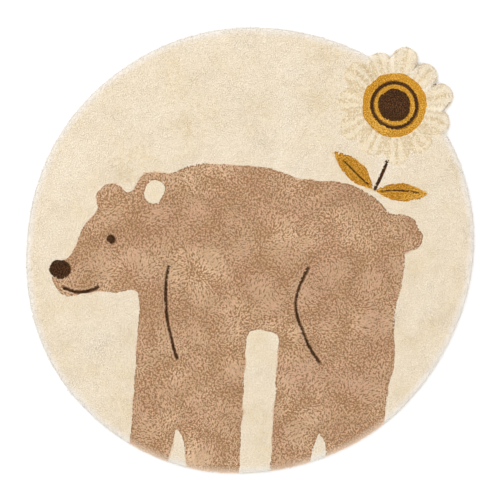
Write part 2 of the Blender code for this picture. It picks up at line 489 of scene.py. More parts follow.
def push_out(shape, x, y, room):
    """Moves points inside a thin line, or near it, out to both its sides."""
    away = shape(x, y)
    near = away < room
    gx, gy = slope(shape, x[near], y[near])
    x[near] += (room - away[near]) * gx
    y[near] += (room - away[near]) * gy


def to_nearest_edge(x, y):
    """How far each point is from any edge between two yarns."""
    edges = [*COLOUR_EDGES, *line_shapes.values()]
    return np.minimum.reduce([np.abs(shape(x, y)) for shape in edges])


print(len(COLOUR_EDGES), "edges and", len(line_shapes), "lines push the stitches of the fields back")


# %% Which yarn
CREAM, TAN, OCHRE, BROWN, PETAL = range(5)


def yarn_at(x, y):
    """The yarn of each stitch: what is drawn later lies over what is drawn first."""
    yarn = np.full(len(x), CREAM)
    yarn[leaves(x, y) < 0] = OCHRE
    yarn[bear(x, y) < 0] = TAN
    yarn[inner_ear(x, y) < 0] = CREAM
    yarn[petals(x, y) < 0] = PETAL
    yarn[disc_edge(x, y) < 0] = OCHRE
    for dark in (heart_edge, nose, eye):
        yarn[dark(x, y) < 0] = BROWN
    return yarn


# %% All the stitches of the fields
x, y, yarn = [line_x], [line_y], [np.full(len(line_x), BROWN)]
for pitch, is_cream in ((CREAM_PITCH, True), (FINE_PITCH, False)):
    field_x, field_y = lattice(pitch)
    for shape in COLOUR_EDGES:
        push_back(shape, field_x, field_y, HALF_STITCH)
    for shape in line_shapes.values():
        push_out(shape, field_x, field_y, HALF_STITCH)
    field_yarn = yarn_at(field_x, field_y)
    wanted = (field_yarn == CREAM) == is_cream
    x.append(field_x[wanted])
    y.append(field_y[wanted])
    yarn.append(field_yarn[wanted])
x, y, yarn = np.concatenate(x), np.concatenate(y), np.concatenate(yarn)
print("stitches of each yarn:", np.bincount(yarn).tolist())

# %% [markdown]
# ## How the pile leans
#
# Cut pile never stands straight. Feet and hands brush it into patches 50 to 100 mm across that lean one
# way, and within a patch each end still goes its own way. Near a sheared line the ends stand straighter,
# and at the rim they fan out and down over the edge, which gives the soft rounded border. A smooth random
# field of a few sine waves gives the patches, and dice give each stitch its own share.

# %% Smooth random fields


def drift(x, y, patch, waves=14):
    """A smooth random field between about -1 and 1, with patches of about this size."""
    total = np.zeros(len(x))
    for _ in range(waves):
        turn = dice.uniform(0, math.tau)
        start = dice.uniform(0, math.tau)
        stretch = dice.uniform(0.7, 1.6)
        count = math.pi / (patch * stretch)
        total += np.cos(count * (x * math.cos(turn) + y * math.sin(turn)) + start)
    return total / math.sqrt(waves / 2)


# %% Feet and tips of the stitches
CLOTH_TOP = 0.0025
FOOT_HEIGHT = 0.0060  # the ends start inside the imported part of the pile
# How each yarn stands. Columns: half the width of a cut end, height of its shoulder, how far the two ends
# of a stitch stand apart, how uneven the tops are, how far it leans compared with tan. Cream blooms most:
# its soft thick ends close up, so its field looks smooth.
HABIT = {
    CREAM: (0.00260, 0.88, 0.0034, 0.0005, 0.60),
    TAN: (0.00140, 0.72, 0.0025, 0.0016, 1.00),
    OCHRE: (0.00140, 0.74, 0.0025, 0.0012, 0.80),
    BROWN: (0.00150, 0.74, 0.0020, 0.0012, 0.60),
    PETAL: (0.00180, 0.82, 0.0025, 0.0008, 0.60),
}
PATCH = 0.065
PATCH_LEAN = 0.0045  # how far a patch leans sideways between foot and tip
OWN_LEAN = 0.0045  # how far one stitch may go its own way
SHY = 0.016  # within this distance of another colour the pile stands straighter
SHY_LEAST = 0.60  # share of its lean that it keeps there
SHY_CURVE = 1.5
EVEN_TOPS = 1.6  # above 1, most tops are near the height that the shears left

habit = np.array([HABIT[kind] for kind in range(5)])
lean_x = PATCH_LEAN * drift(x, y, PATCH)
lean_y = PATCH_LEAN * drift(x, y, PATCH)
own_turn = dice.uniform(0, math.tau, len(x))
own_far = OWN_LEAN * np.sqrt(dice.uniform(0, 1, len(x)))
edge = to_nearest_edge(x, y)
free = SHY_LEAST + (1 - SHY_LEAST) * np.clip(edge / SHY, 0, 1) ** SHY_CURVE
free *= habit[yarn, 4]
tip_x = x + free * (lean_x + own_far * np.cos(own_turn))
tip_y = y + free * (lean_y + own_far * np.sin(own_turn))
tip_z = PILE_TOP - habit[yarn, 3] * dice.uniform(0, 1, len(x)) ** EVEN_TOPS
mean_lean = float(np.mean(np.hypot(tip_x - x, tip_y - y)))
print("mean lean sideways, mm:", round(1000 * mean_lean, 2))

# %% The rounded rim
FAN = 0.024  # the pile fans out within this distance of the rim
FAN_OUT = 0.0055  # by which the outermost tips stand further out than their feet
FAN_CURVE = 1.3
CALM = 0.7  # share of its own lean that an outermost stitch loses
RIM_UNEVEN = 0.4  # how uneven the tops are there, compared with the field
# The rim's rounded profile. Columns: inset, height.
PROFILE = (
    (0.0000, 0.0092),
    (0.0020, 0.0115),
    (0.0065, 0.0143),
    (0.0120, PILE_TOP),
    (0.0300, PILE_TOP),
)

inset = -rug(x, y)
near_rim = inset < FAN
out_x, out_y = slope(rug, x[near_rim], y[near_rim])
share = np.clip((FAN - inset[near_rim]) / (FAN - EDGE_INSET), 0, 1)
side_x, side_y = tip_x[near_rim] - x[near_rim], tip_y[near_rim] - y[near_rim]
kept = 1 - CALM * share
reach = FAN_OUT * share**FAN_CURVE
tip_x[near_rim] = x[near_rim] + kept * side_x + reach * out_x
tip_y[near_rim] = y[near_rim] + kept * side_y + reach * out_y
tip_inset = np.clip(-rug(tip_x[near_rim], tip_y[near_rim]), 0, None)
ceiling = np.interp(tip_inset, *zip(*PROFILE))
tip_z[near_rim] = np.minimum(tip_z[near_rim], ceiling - RIM_UNEVEN * (PILE_TOP - tip_z[near_rim]))
foot_z = np.full(len(x), FOOT_HEIGHT)
print(int(near_rim.sum()), "stitches fan out at the rim")

# %% The rug's outline
OUTLINE_RAYS = 7200
RIM_NEAREST, RIM_FURTHEST = 0.5, 0.75  # the whole rim lies between these distances from the middle
HALVINGS = 24  # a ray's end is found to less than a thousandth of a millimetre


def rays_out(shape, middle, count, far, near=0.0):
    """Where rays from a point inside a shape leave it, somewhere between near and far."""
    turns = np.linspace(0, math.tau, count, endpoint=False)
    low, high = np.full(count, near), np.full(count, far)
    for _ in range(HALVINGS):
        half = (low + high) / 2
        within = shape(middle[0] + half * np.cos(turns), middle[1] + half * np.sin(turns)) < 0
        low, high = np.where(within, half, low), np.where(within, high, half)
    return np.column_stack([middle[0] + low * np.cos(turns), middle[1] + low * np.sin(turns)])


def rug_outline(step):
    """Points along the whole outline, petals included, about a step apart."""
    points = rays_out(rug, (0, 0), OUTLINE_RAYS, RIM_FURTHEST, near=RIM_NEAREST)
    closed = np.vstack([points, points[:1]])
    far = np.concatenate([[0], np.cumsum(np.hypot(*np.diff(closed, axis=0).T))])
    at = np.linspace(0, far[-1], round(far[-1] / step), endpoint=False)
    return np.interp(at, far, closed[:, 0]), np.interp(at, far, closed[:, 1]), far[-1]


# %% Three rows of low stitches that close the rim's side
RIM_STEP = 0.0043
RIM_SHAKE = 0.0007
# Shares of the shake: of a foot inwards, of a tip along the rim, of its height.
FOOT_IN, TIP_ASIDE, TIP_UP = 0.5, 2.0, 0.6
MOST_PAST = 0.0006  # how far a tip may stand past the rim
LOWEST_TIP = 0.0028
# Columns: inset of the foot, its height, inset of the tip, its height.
RIM_ROWS = (
    (0.0058, 0.0050, 0.0020, 0.0100),
    (0.0054, 0.0040, 0.0010, 0.0066),
    (0.0052, 0.0032, 0.0002, 0.0036),
)

rim_x, rim_y, rim_length = rug_outline(RIM_STEP)
rim_out_x, rim_out_y = slope(rug, rim_x, rim_y)
rim_yarn = yarn_at(rim_x - EDGE_INSET * rim_out_x, rim_y - EDGE_INSET * rim_out_y)
extra = {key: [] for key in ("x", "y", "z", "tip_x", "tip_y", "tip_z", "yarn")}
for foot_inset, foot_high, tip_in, tip_high in RIM_ROWS:
    shake = RIM_SHAKE * dice.normal(0, 1, (4, len(rim_x)))
    foot_in = foot_inset + FOOT_IN * np.abs(shake[0])
    tip_away = np.maximum(tip_in + shake[1], -MOST_PAST)
    extra["x"].append(rim_x - foot_in * rim_out_x + shake[2] * rim_out_y)
    extra["y"].append(rim_y - foot_in * rim_out_y - shake[2] * rim_out_x)
    extra["z"].append(np.full(len(rim_x), foot_high))
    extra["tip_x"].append(rim_x - tip_away * rim_out_x + TIP_ASIDE * shake[3] * rim_out_y)
    extra["tip_y"].append(rim_y - tip_away * rim_out_y - TIP_ASIDE * shake[3] * rim_out_x)
    extra["tip_z"].append(np.maximum(tip_high + TIP_UP * shake[0], LOWEST_TIP))
    extra["yarn"].append(rim_yarn)
extra = {key: np.concatenate(parts) for key, parts in extra.items()}

x, y = np.concatenate([x, extra["x"]]), np.concatenate([y, extra["y"]])
foot_z = np.concatenate([foot_z, extra["z"]])
tip_x, tip_y = np.concatenate([tip_x, extra["tip_x"]]), np.concatenate([tip_y, extra["tip_y"]])
tip_z = np.concatenate([tip_z, extra["tip_z"]])
yarn = np.concatenate([yarn, extra["yarn"]])
print("rim", round(rim_length, 3), "m long,", len(extra["x"]), "stitches on its side")

# %% Rays in the petals
VEINS = 2  # beige rays along each petal, besides the one in each notch
VEIN_HALF = 0.0050
PETAL_RIM = 0.0035  # a petal's edge is beige too

turn = np.arctan2(y - FLOWER[1], x - FLOWER[0]) - PETAL_FIRST
away = from_flower(x, y)
ray = math.tau / PETALS / (VEINS + 1)
from_ray = np.abs((turn + ray * 0.5) % ray - ray * 0.5) * away
from_notch = np.abs(turn % (math.tau / PETALS) - math.pi / PETALS) * away
on_line = (from_ray < VEIN_HALF) | (from_notch < VEIN_HALF) | (-petals(x, y) < PETAL_RIM)
beige = (yarn == PETAL) & on_line
print(int(beige.sum()), "of", int((yarn == PETAL).sum()), "petal stitches are beige")

# %% [markdown]
# ## Growing the pile with Geometry Nodes
#
# Each stitch arrives as one point with a few facts: where it aims, how thick it is, how it is turned. The
# tree makes one cut end, a tapering three-sided spike with a swollen shoulder, doubles it, because a
# stitch leaves two ends, and sets the pair on every point. Once the pairs are real geometry it bends the
# ends, drives the two ends of a stitch apart and shakes their shoulders, so that no two look alike.
# Spikes of ten triangles are enough, because an end is only as thick as one pixel of the photo.
#
# The tree also writes a map, OFBake, in which every stitch has a square of its own, so that its colour
# can be kept in an image.

# %% The tree, its inputs and the facts that it reads
MATH = "ShaderNodeMath"
VECTORS = "ShaderNodeVectorMath"
STORE = "GeometryNodeStoreNamedAttribute"
MIDDLE = (0.5, 0.5, 0.5)  # of dice that fall between 0 and 1

TREE_INPUTS = {
    "Stitches": "Geometry",
    "Sides": "Int",
    "Foot width": "Float",
    "Shoulder height": "Float",
    "Apart": "Float",
    "Arch": "Float",
    "Ragged": "Float",
    "Squares across": "Float",
    "Seed": "Float",
    "Yarn": "Material",
}
POINT_FACTS = {
    "FLOAT_VECTOR": ("aim", "part", "rise", "place", "rosette"),
    "FLOAT": ("thick", "spin", "loose", "number", "along", "end", "under"),
}

STITCHES = bpy.data.node_groups.new("cut_pile_stitches", "GeometryNodeTree")
for name, kind in TREE_INPUTS.items():
    STITCHES.interface.new_socket(name, in_out="INPUT", socket_type="NodeSocket" + kind)
STITCHES.interface.new_socket("Pile", in_out="OUTPUT", socket_type="NodeSocketGeometry")

add = partial(add_node, STITCHES)
given = add("NodeGroupInput").outputs
fact = {}
for kind, names in POINT_FACTS.items():
    for name in names:
        fact[name] = add("GeometryNodeInputNamedAttribute", {"Name": name}, data_type=kind)
print("the tree has", len(TREE_INPUTS), "inputs and reads", len(fact), "facts")

# %% One cut end: three rings at heights 0, 0.5 and 1, the last of them a point
RING_WIDEST = 2.0  # the cone is half as wide at its middle ring as at its foot, so this makes it full width

cone = add(
    "GeometryNodeMeshCone",
    {"Vertices": given["Sides"], "Side Segments": 2, "Radius Top": 0.0, "Radius Bottom": 1.0, "Depth": 1.0},
    fill_type="NGON",
)
corner = add("GeometryNodeInputPosition")
split = add("ShaderNodeSeparateXYZ", {0: corner})
level = split.outputs["Z"]
spike = add(STORE, {"Geometry": cone, "Name": "rosette", "Value": corner}, data_type="FLOAT_VECTOR")
spike = add(STORE, {"Geometry": spike, "Name": "under", "Value": cone.outputs["Bottom"]}, domain="FACE")

swelling = add(MATH, {0: RING_WIDEST, 1: given["Foot width"]}, operation="SUBTRACT")
twice_up = add(MATH, {0: level, 1: 2.0}, operation="MULTIPLY")
swollen = add(MATH, {0: swelling, 1: twice_up}, operation="MULTIPLY")
widen = add(MATH, {0: given["Foot width"], 1: swollen}, operation="ADD")
wide = [add(MATH, {0: split.outputs[axis], 1: widen}, operation="MULTIPLY") for axis in ("X", "Y")]

# The middle ring moves up to the shoulder, the other two stay.
to_go = add(MATH, {0: 1.0, 1: level}, operation="SUBTRACT")
hill = add(MATH, {0: level, 1: to_go}, operation="MULTIPLY")
bulge = add(MATH, {0: hill, 1: 4.0}, operation="MULTIPLY")
lift = add(MATH, {0: given["Shoulder height"], 1: 0.5}, operation="SUBTRACT")
raised = add(MATH, {0: bulge, 1: lift}, operation="MULTIPLY")
lifted = add(MATH, {0: level, 1: raised}, operation="ADD")
shaped = add("ShaderNodeCombineXYZ", {0: wide[0], 1: wide[1], 2: lifted})
spike = add("GeometryNodeSetPosition", {"Geometry": spike, "Position": shaped})
# The level is read again here, after the rings have moved.
spike = add(STORE, {"Geometry": spike, "Name": "along", "Value": level})
print("a cut end takes", len(STITCHES.nodes) - len(fact) - 1, "nodes")

# %% Two ends on every point, aimed as the stitch leans
pair = add("GeometryNodeJoinGeometry")
for side in (-0.5, 0.5):
    one_end = add(STORE, {"Geometry": spike, "Name": "end", "Value": side})
    STITCHES.links.new(one_end.outputs[0], pair.inputs[0])

long = add(VECTORS, {0: fact["aim"]}, operation="LENGTH").outputs["Value"]
turned = add("FunctionNodeAxisAngleToRotation", {"Axis": (0, 0, 1), "Angle": fact["spin"]})
aimed = add("FunctionNodeAlignRotationToVector", {"Rotation": turned, "Vector": fact["aim"]}, axis="Z")
size = add("ShaderNodeCombineXYZ", {0: fact["thick"], 1: fact["thick"], 2: long})
stood = add(
    "GeometryNodeInstanceOnPoints",
    {"Points": given["Stitches"], "Instance": pair, "Rotation": aimed, "Scale": size},
)
grown = add("GeometryNodeRealizeInstances", {"Geometry": stood})
print("two ends stand on each point, and are real geometry from here on")

# %% Luck of each end and of each corner
PLACE_KEY, END_KEY, CORNER_KEY = 977.0, 3.7, 5.3  # they spread places out, so that no two share their luck

at_place = add(VECTORS, {0: fact["place"], "Scale": PLACE_KEY}, operation="SCALE")
each_way = add("ShaderNodeCombineXYZ", {0: fact["end"], 1: fact["end"], 2: fact["end"]})
of_end = add(VECTORS, {0: each_way, "Scale": END_KEY}, operation="SCALE")
end_key = add(VECTORS, {0: at_place, 1: of_end}, operation="ADD")
of_corner = add(VECTORS, {0: fact["rosette"], "Scale": CORNER_KEY}, operation="SCALE")
corner_key = add(VECTORS, {0: of_corner, 1: end_key}, operation="ADD")
luck = []
for luck_key in (end_key, corner_key):
    rolled = add(
        "ShaderNodeTexWhiteNoise", {"Vector": luck_key, "W": given["Seed"]}, noise_dimensions="4D"
    ).outputs["Color"]
    luck.append(add(VECTORS, {0: rolled, 1: MIDDLE}, operation="SUBTRACT"))
print("dice of the tree start from the input Seed")

# %% Bend, part and shake the ends
FOOT_SHARE = 0.35  # how far the two feet already stand apart, as a share of the tips
SIDEWAYS = (1.0, 1.0, 0.4)  # an end strays more sideways than up

along, end, loose = fact["along"], fact["end"], fact["loose"]
own_side = add(MATH, {0: end, 1: given["Apart"]}, operation="MULTIPLY")
from_foot = add(MATH, {0: FOOT_SHARE, 1: along}, operation="ADD")
how_far = add(MATH, {0: own_side, 1: from_foot}, operation="MULTIPLY")
parted = add(VECTORS, {0: fact["part"], "Scale": how_far}, operation="SCALE")

stray = add(VECTORS, {0: luck[0], 1: SIDEWAYS}, operation="MULTIPLY")
stray_most = add(MATH, {0: given["Apart"], 1: along}, operation="MULTIPLY")
stray_far = add(MATH, {0: stray_most, 1: loose}, operation="MULTIPLY")
strayed = add(VECTORS, {0: stray, "Scale": stray_far}, operation="SCALE")

rough = add(MATH, {0: given["Ragged"], 1: loose}, operation="MULTIPLY")
shaken = add(VECTORS, {0: luck[1], "Scale": rough}, operation="SCALE")

to_tip = add(MATH, {0: 1.0, 1: along}, operation="SUBTRACT")
bow = add(MATH, {0: along, 1: to_tip}, operation="MULTIPLY")
bow_high = add(MATH, {0: given["Arch"], 1: 4.0}, operation="MULTIPLY")
arch = add(MATH, {0: bow, 1: bow_high}, operation="MULTIPLY")
arched = add(VECTORS, {0: fact["rise"], "Scale": arch}, operation="SCALE")

as_one = add(VECTORS, {0: parted, 1: strayed}, operation="ADD")
in_detail = add(VECTORS, {0: shaken, 1: arched}, operation="ADD")
moved = add(VECTORS, {0: as_one, 1: in_detail}, operation="ADD")
grown = add("GeometryNodeSetPosition", {"Geometry": grown, "Offset": moved})
print("arch, parting, straying and shaking add up to one move of each corner")

# %% A square of the map for each stitch: its two ends lie side by side in it, unfolded about their tips
END_ASIDE, END_HALF_X, END_HALF_Y, FOOT_HALF_Y = 0.48, 0.21, 0.34, 0.06  # as shares of the square

number, across = fact["number"], given["Squares across"]
flat = add("ShaderNodeSeparateXYZ", {0: fact["rosette"]}).outputs
above = add(MATH, {0: 1.0, 1: fact["under"]}, operation="SUBTRACT")
column = add(MATH, {0: number, 1: across}, operation="MODULO")
past_start = add(MATH, {0: number, 1: 0.5}, operation="ADD")
rows_up = add(MATH, {0: past_start, 1: across}, operation="DIVIDE")
row = add(MATH, {0: rows_up}, operation="FLOOR")

end_x = add(MATH, {0: end, 1: END_ASIDE}, operation="MULTIPLY")
corner_x = add(MATH, {0: flat["X"], 1: END_HALF_X}, operation="MULTIPLY")
from_middle_x = add(MATH, {0: end_x, 1: corner_x}, operation="ADD")
offset_x = add(MATH, {0: above, 1: from_middle_x}, operation="MULTIPLY")
side_y = add(MATH, {0: above, 1: END_HALF_Y}, operation="MULTIPLY")
half_y = add(MATH, {0: FOOT_HALF_Y, 1: side_y}, operation="ADD")
offset_y = add(MATH, {0: flat["Y"], 1: half_y}, operation="MULTIPLY")

on_map = []
for square, offset in ((column, offset_x), (row, offset_y)):
    within = add(MATH, {0: 0.5, 1: offset}, operation="ADD")
    counted = add(MATH, {0: square, 1: within}, operation="ADD")
    on_map.append(add(MATH, {0: counted, 1: across}, operation="DIVIDE"))
map_point = add("ShaderNodeCombineXYZ", {0: on_map[0], 1: on_map[1]})
placed = {"Geometry": grown, "Name": "OFBake", "Value": map_point}
grown = add(STORE, placed, data_type="FLOAT2", domain="CORNER")
print("each square of the map holds one stitch")

# %% The end of the tree
for name in fact:
    if name != "along":  # the yarn's colour still needs it
        grown = add("GeometryNodeRemoveAttribute", {"Geometry": grown, "Name": name})
grown = add("GeometryNodeSetShadeSmooth", {"Geometry": grown})
grown = add("GeometryNodeSetMaterial", {"Geometry": grown, "Material": given["Yarn"]})
add("NodeGroupOutput", {0: grown})
print(len(STITCHES.nodes), "nodes grow a stitch")

# %% [markdown]
# ## The yarns
#
# All the yarns are carded cotton, dyed and cut. Cotton has no gloss: light sinks in between the fibres,
# so the roughness is high and a weak sheen stands for the loose hairs. The colour has three parts: painted
# shade that makes the ends darker down in the pile, where light hardly comes, than at the tip; stitches
# that each took the dye a little differently; and soft clouds, partly a change of hue and partly painted
# light and shade where the pile leans another way. Near the rim painted light makes the cotton paler.
# Colours are what the photo shows in the middle of each field.

# %% Cut cotton yarn
RIM_PALE = 0.022  # nearer than this to the rim the cotton looks paler, because light also comes from the side
FIBRE = 0.0016  # real fibres are finer than a tenth of this, but would vanish in the picture
# Clouds of colour, partly a change of hue and partly painted light and shade where the pile leans another
# way.
WISP = 0.045  # small clouds
CLOUD = 0.130  # large clouds


def cut_cotton(name, tip, tip_other, root, wisp, cloud, flecks, pale, rays):
    """Cut cotton pile. tip and tip_other are the two colours that stitches lie between, by a tint that is
    partly each stitch's dye and partly painted light and shade of its patch. root is painted shade down in
    the pile, wisp and cloud tint small and large patches, partly with painted light and shade where the
    pile leans another way, flecks is how strongly single fibres stand out, pale is painted light at the
    rim, and rays is a second yarn for the stitches marked with it."""
    made, tree, shader = new_material(name)
    add = partial(add_node, tree)
    place = add("ShaderNodeTexCoord").outputs["Object"]
    clouds, wisps, fibres = (
        add("ShaderNodeTexNoise", {"Vector": place, "Scale": 1 / size, "Detail": detail})
        for size, detail in ((CLOUD, 2.0), (WISP, 2.0), (FIBRE, 1.0))
    )
    marks = {}
    for mark in ("tint", "along", "at_rim", "other")[: 4 if rays else 3]:
        marks[mark] = add("ShaderNodeAttribute", attribute_name=mark).outputs["Fac"]

    # Where a layer shows. Columns: what drives it, between which two values, its share at each of them.
    limits = ("From Min", "From Max", "To Min", "To Max")
    drivers = (
        (clouds, 0.42, 0.62, 0.0, 0.8),
        (wisps, 0.45, 0.65, 0.0, 0.7),
        (fibres, 0.35, 0.60, flecks, 0.0),
        (marks["along"], 0.00, 0.55, 1.0, 0.0),
    )
    in_cloud, in_wisp, in_fleck, deep = (
        add("ShaderNodeMapRange", {"Value": driver, **dict(zip(limits, values))})
        for driver, *values in drivers
    )

    # The layers, from the lowest up. Columns: its share, its colour.
    layers = (
        (marks["tint"], tip_other),
        (in_cloud, cloud),
        (in_wisp, wisp),
        (marks.get("other"), rays),
        (in_fleck, root),
        # painted shade: the ends darken as they go down into the pile
        (deep, root),
        (marks["at_rim"], pale),
    )
    colour = linear(tip)
    for share, over in layers:
        if over:
            mixed = add("ShaderNodeMix", {0: share, 6: colour, 7: linear(over)}, data_type="RGBA")
            colour = mixed.outputs[2]
    bumps = add("ShaderNodeBump", {"Strength": 0.35, "Distance": 0.0004, "Height": fibres})
    tree.links.new(colour, shader.inputs["Base Color"])
    tree.links.new(bumps.outputs[0], shader.inputs["Normal"])
    shader.inputs["Roughness"].default_value = 0.92
    shader.inputs["Specular IOR Level"].default_value = 0.25
    shader.inputs["Sheen Weight"].default_value = 0.10
    shader.inputs["Sheen Roughness"].default_value = 0.6
    return made


# Columns: yarn, name, tip, other tip, root (painted shade), wisp, cloud, flecks, at the rim (painted light),
# rays.
YARN_LOOKS = (
    (CREAM, "cream", "#E7DAC5", "#EEE4D3", "#DFD2BC", "#EADDC9", "#E6D5B5", 0.08, "#E6E2DC", None),
    (TAN, "tan", "#DAB28C", "#FFE2BF", "#D2AB85", "#E1BF98", "#E6BF9F", 0.30, "#EAD7C3", None),
    (OCHRE, "ochre", "#F4C04A", "#FBCF66", "#CB942C", "#F0B844", "#F2BC4A", 0.40, "#F4C04A", None),
    (BROWN, "dark_brown", "#7C4D20", "#633B18", "#3E240E", "#653E18", "#6C431C", 0.40, "#633B18", None),
    (PETAL, "petal", "#EEE1C8", "#F2E6D0", "#E2D4B9", "#F0E2C7", "#EEDFC0", 0.08, "#E8E2D9", "#D9C49F"),
)
YARNS = {kind: cut_cotton(name + "_cotton_cut_pile", *look) for kind, name, *look in YARN_LOOKS}
SLOTS = {CREAM: "cream_pile", TAN: "tan_pile", OCHRE: "ochre_pile", BROWN: "brown_pile", PETAL: "petal_pile"}
print("yarns:", ", ".join(made.name for made in YARNS.values()))

# %% Facts of each stitch
THICK_SPREAD = 0.14  # how much the ends differ in thickness
RIM_THICK = 0.0017  # half the width of an end on the rim's side
SWING_BACK = 0.4  # how far an arched end swings back as it rises
RIM_LOOSE = 0.45  # the ends on the rim's side go their own way less than those of the field
OWN_TINT = 0.45  # share of a stitch's tint that is its own, the rest is its patch's
TINT_PATCH = 0.100
TINT_SWING = 0.32
PETAL_PALE = 0.5  # the petals, which carry rays of their own, turn only half as pale at the rim
PALE_EDGE = 0.070  # nearer than this to its edge the bear's pile is painted lighter
EDGE_TINT, INNER_TINT = 0.30, -0.20  # what that adds to its tint at the edge, and further in

count = len(x)
aim = np.column_stack([tip_x - x, tip_y - y, tip_z - foot_z])
part_turn = dice.uniform(0, math.tau, count)
on_side = np.arange(count) >= count - len(extra["x"])
# The patch's part of the tint is painted light and shade, where the pile leans another way; the stitch's own
# part is its dye.
patch_light_and_shade = 0.5 + TINT_SWING * drift(x, y, TINT_PATCH)
from_rim = np.maximum(-rug(x, y), 0)
in_bear = np.clip(np.minimum(-bear(x, y), from_rim), 0, PALE_EDGE)
patch_light_and_shade += np.where(yarn == TAN, EDGE_TINT - (EDGE_TINT - INNER_TINT) * in_bear / PALE_EDGE, 0)
tint = OWN_TINT * dice.uniform(0, 1, count) + (1 - OWN_TINT) * np.clip(patch_light_and_shade, 0, 1)
thick = habit[yarn, 0] * (1 + THICK_SPREAD * dice.normal(0, 1, count).clip(-2, 2))
thick[on_side] = RIM_THICK
rim_side = np.arctan2(np.tile(rim_out_x, len(RIM_ROWS)), -np.tile(rim_out_y, len(RIM_ROWS)))
part_turn[on_side] = rim_side  # both ends of a stitch stand side by side along the rim
sideways = np.hypot(aim[:, 0], aim[:, 1])
facts = {
    "aim": aim,
    "part": np.column_stack([np.cos(part_turn), np.sin(part_turn), np.zeros(count)]),
    "rise": np.column_stack([-SWING_BACK * aim[:, 0], -SWING_BACK * aim[:, 1], sideways]),
    "place": np.column_stack([x, y, foot_z]),
    "thick": thick,
    "spin": dice.uniform(0, math.tau, count),
    "loose": np.where(on_side, RIM_LOOSE, 1.0),
    "tint": tint,
    "at_rim": np.where(yarn == PETAL, PETAL_PALE, 1.0) * np.clip(1 - from_rim / RIM_PALE, 0, 1),
    "other": beige.astype(float),
}
print(count, "stitches,", len(facts), "facts each")

# %% Pieces of pile
ARCH = 0.16  # how high an end bows, as a share of its sideways reach
RAGGED = 0.0009
FOOT_WIDTH = 0.85  # an end's foot, compared with its shoulder
SECTORS = {CREAM: 2, TAN: 3, OCHRE: 1, BROWN: 1, PETAL: 1}


def plain_mesh(obj):
    """The object's evaluated shape as its own mesh, with no modifier left."""
    bpy.context.view_layer.update()
    made = bpy.data.meshes.new_from_object(obj.evaluated_get(bpy.context.evaluated_depsgraph_get()))
    obj.modifiers.clear()
    old, obj.data = obj.data, made
    bpy.data.meshes.remove(old)
    made.name = obj.name
    return obj


def grow(name, chosen, yarn_kind):
    """A piece of pile from the chosen stitches."""
    mesh = bpy.data.meshes.new(name)
    places = facts["place"][chosen]
    mesh.vertices.add(len(places))
    mesh.vertices.foreach_set("co", places.astype(np.float32).ravel())
    chosen_facts = {key: value[chosen] for key, value in facts.items()}
    chosen_facts["number"] = np.arange(len(places), dtype=float)
    for key, value in chosen_facts.items():
        kind, field = ("FLOAT_VECTOR", "vector") if value.ndim == 2 else ("FLOAT", "value")
        mesh.attributes.new(key, kind, "POINT").data.foreach_set(field, value.astype(np.float32).ravel())
    piece = add_object(name, mesh)
    growth = piece.modifiers.new("stitches", "NODES")
    growth.node_group = STITCHES
    wanted = {
        "Sides": 3,
        "Foot width": FOOT_WIDTH,
        "Shoulder height": HABIT[yarn_kind][1],
        "Apart": HABIT[yarn_kind][2],
        "Arch": ARCH,
        "Ragged": RAGGED,
        "Squares across": float(math.ceil(math.sqrt(len(places)))),
        "Seed": float(SEED),
        "Yarn": YARNS[yarn_kind],
    }
    for item in STITCHES.interface.items_tree:
        if item.in_out == "INPUT" and item.name in wanted:
            growth[item.identifier] = wanted[item.name]
    return plain_mesh(piece)


def triangles(piece):
    return sum(len(face.vertices) - 2 for face in piece.data.polygons)


pile = []
turn = np.arctan2(y, x)
for kind, sectors in SECTORS.items():
    order = np.argsort(turn[yarn == kind], kind="stable")
    stitches = np.flatnonzero(yarn == kind)[order]
    for number, chosen in enumerate(np.array_split(stitches, sectors), 1):
        name = SLOTS[kind] + (f"_{number}" if sectors > 1 else "")
        piece = grow(name, chosen, kind)
        pile.append(piece)
        print(f"{name}: {len(chosen)} stitches, {triangles(piece)} triangles")

# %% [markdown]
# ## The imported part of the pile
#
# Further down the yarns stand so close that no light gets between them. That part is built as a mat: one
# closed body for each colour, which shows only in the gaps between the ends. Its top is high under cream,
# whose soft yarn closes up, and lower under tan, whose gaps look dark. The mats are cut out of one
# rounded body with the shapes of the picture, as pastry is, by Boolean modifiers, and so they lie side by
# side and not in each other.

# %% Bodies from rings
CUTTER_LOW, CUTTER_HIGH = -0.01, 0.03  # well below and above every mat


def loft(bm, rings, hoop=False):
    """A closed body from outlines with equal counts of points, each at a height, from the lowest up. A hoop
    comes back to its first outline and needs no caps."""
    made = [[bm.verts.new((px, py, height)) for px, py in outline] for outline, height in rings]
    if hoop:
        made.append(made[0])
    else:
        bm.faces.new(list(reversed(made[0])))
        bm.faces.new(made[-1])
    for lower, upper in zip(made[:-1], made[1:]):
        for k in range(len(lower)):
            after = (k + 1) % len(lower)
            bm.faces.new((lower[k], lower[after], upper[after], upper[k]))


def body(name, parts, hoops=()):
    """An object from several lofted parts."""
    bm = bmesh.new()
    for rings in parts:
        loft(bm, rings)
    for rings in hoops:
        loft(bm, rings, hoop=True)
    mesh = bpy.data.meshes.new(name)
    bm.to_mesh(mesh)
    bm.free()
    return add_object(name, mesh)


def carve(piece, operation, outline):
    """Cuts an outline out of a piece, or keeps only what lies inside it."""
    cutter = body("cutter", [[(outline, CUTTER_LOW), (outline, CUTTER_HIGH)]])
    cut = piece.modifiers.new(operation, "BOOLEAN")
    cut.operation, cut.solver, cut.object = operation, "EXACT", cutter
    cut.use_self = True  # without it, some of the large flat faces are lost
    plain_mesh(piece)
    bpy.data.objects.remove(cutter)


print("a body is lofted from rings, and carved with outlines")

